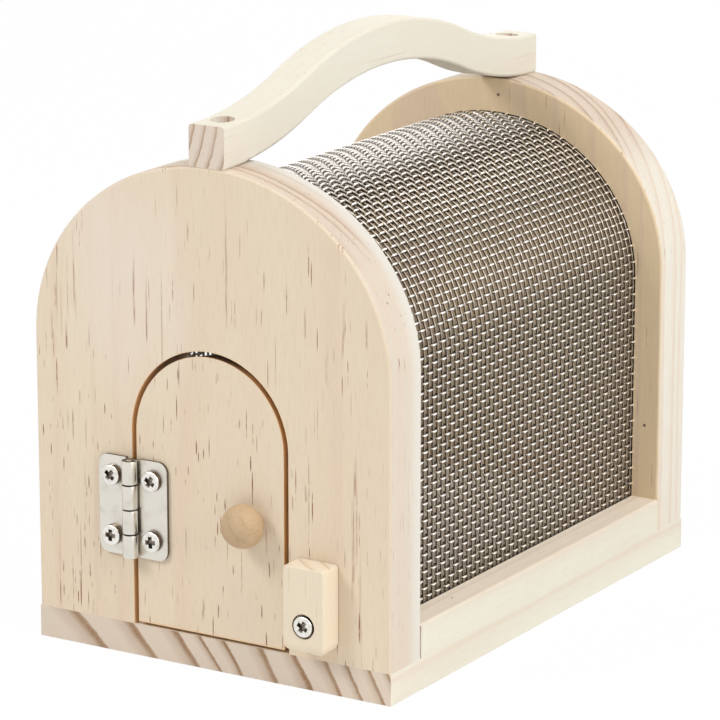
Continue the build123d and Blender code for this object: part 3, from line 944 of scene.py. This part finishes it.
def wires(name, finish, lines):
    """One mesh of round wires along the given lines of points, in millimetres."""
    curve = bpy.data.curves.new(name, "CURVE")
    curve.dimensions = "3D"
    curve.bevel_depth = wire_radius * mm
    curve.bevel_resolution = 1
    curve.use_fill_caps = True
    for line in lines:
        spline = curve.splines.new("POLY")
        spline.points.add(len(line) - 1)
        for point, place in zip(spline.points, line):
            point.co = (*(place * mm), 1)
    wire = bpy.data.objects.new(name, curve)
    bpy.context.scene.collection.objects.link(wire)
    bpy.ops.object.select_all(action="DESELECT")
    wire.select_set(True)
    bpy.context.view_layer.objects.active = wire
    bpy.ops.object.convert(target="MESH")
    wire = bpy.context.object
    wire.data.materials.append(finish)
    return wire


def hoop_line(side):
    """One hoop across the origin, its waves starting outward (1) or inward (-1)."""
    line = []
    for step in range(runner_count * samples_per_crossing):
        distance = (step + 0.5) * runner_pitch / samples_per_crossing
        point, outward = on_hood(distance)
        wave = side * hoop_wave * math.sin(math.pi * distance / runner_pitch)
        spot = point + outward * wave
        line.append(Vector((spot.x, 0, spot.y)))
    return line


def runner_line(index):
    point, outward = on_hood((index + 0.5) * runner_pitch)
    line = []
    for step in range(hoop_count * samples_per_crossing):
        distance = (step + 0.5) * hoop_pitch / samples_per_crossing
        turn = math.pi * distance / hoop_pitch
        flat_sine = (math.sin(turn) + runner_flatness * math.sin(3 * turn)) / (1 - runner_flatness)
        wave = -((-1) ** index) * runner_wave * flat_sine
        spot = point + outward * wave
        line.append(Vector((spot.x, hood_low.y + distance, spot.y)))
    return line


hood_pieces = []
for parity, side in ((0, 1), (1, -1)):
    hoops = wires(("hood_hoops_even", "hood_hoops_odd")[parity], hoop_steel, [hoop_line(side)])
    hoops.data.transform(Matrix.Translation((0, (hood_low.y + (parity + 0.5) * hoop_pitch) * mm, 0)))
    repeat = hoops.modifiers.new("repeat", "ARRAY")
    repeat.use_relative_offset = False
    repeat.use_constant_offset = True
    repeat.constant_offset_displace = (0, 2 * hoop_pitch * mm, 0)
    repeat.count = len(range(parity, hoop_count, 2))
    bpy.ops.object.modifier_apply(modifier="repeat")
    hood_pieces.append(hoops)
    lines = [runner_line(index) for index in range(parity, runner_count, 2)]
    hood_pieces.append(wires(("hood_runners_even", "hood_runners_odd")[parity], runner_steel, lines))
for piece in hood_pieces:
    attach(piece, "cage")
    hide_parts("wire_mesh")
    print(piece.name, "has", sum(len(face.vertices) - 2 for face in piece.data.polygons), "triangles")


# %% [markdown]
# ## Floor, background and light
# The cage was photographed in a white tent: white all round, with a soft main light
# from the upper left and a broad pale light on the right. A third lamp hangs above
# the hood, and a weak low one stands behind, so that the back stays readable. The
# world and the floor are white only for what the camera and the metals see. The
# light on the wood comes from the lamps and from a weaker world.

# %% Floor and world
def seen_directly(tree):
    """1 for rays from the camera and for mirrored or refracted ones."""
    path = tree.nodes.new("ShaderNodeLightPath")
    share = calc(tree, "ADD", path.outputs["Is Camera Ray"], path.outputs["Is Glossy Ray"])
    return calc(tree, "ADD", share, path.outputs["Is Transmission Ray"], clamp=True)


world = bpy.data.worlds.new("white_tent")
world.use_nodes = True
bpy.context.scene.world = world
tent = world.node_tree
tent_light = tent.nodes["Background"]
tent_light.inputs["Color"].default_value = (1, 1, 1, 1)
world_level = 0.33
tent.links.new(with_floor(tent, seen_directly(tent), world_level), tent_light.inputs["Strength"])

# The floor lies a hair below the base, so that the two never share a plane
floor_glow = 0.97
floor_height = -0.2
bpy.ops.object.select_all(action="DESELECT")
bpy.ops.mesh.primitive_plane_add(size=6, location=(0, 0, floor_height * mm))
floor = bpy.context.object
floor.name = "floor"
floor_paint, paint, paint_shader = new_finish("floor_paint")
paint_shader.inputs["Base Color"].default_value = (0.9, 0.9, 0.9, 1)
paint_shader.inputs["Roughness"].default_value = 0.9
glow = paint.nodes.new("ShaderNodeEmission")
glow_mix = paint.nodes.new("ShaderNodeMixShader")
paint.links.new(part(paint, seen_directly(paint), floor_glow), glow_mix.inputs[0])
paint.links.new(paint_shader.outputs[0], glow_mix.inputs[1])
paint.links.new(glow.outputs[0], glow_mix.inputs[2])
paint.links.new(glow_mix.outputs[0], paint.nodes["Material Output"].inputs["Surface"])
floor.data.materials.append(floor_paint)

# %% Lamps
aim = Vector((0, 0, 0.06))


def softbox(name, place, size, power):
    lamp_data = bpy.data.lights.new(name, "AREA")
    lamp_data.shape = "RECTANGLE"
    lamp_data.size, lamp_data.size_y = size
    lamp_data.energy = power
    lamp = bpy.data.objects.new(name, lamp_data)
    bpy.context.scene.collection.objects.link(lamp)
    lamp.location = place
    lamp.rotation_euler = (aim - lamp.location).to_track_quat("-Z", "Y").to_euler()
    print(name, "stands", round((aim - lamp.location).length, 2), "m away")


softbox("main_light", (-0.75, -1.05, 1.15), (0.6, 0.6), 11.6)
softbox("side_light", (1.35, -0.25, 0.75), (0.9, 0.9), 11.2)
softbox("top_light", (0.45, -0.10, 1.45), (1.0, 0.8), 8.0)
softbox("back_light", (-0.45, 1.50, 0.50), (0.8, 0.8), 5.0)
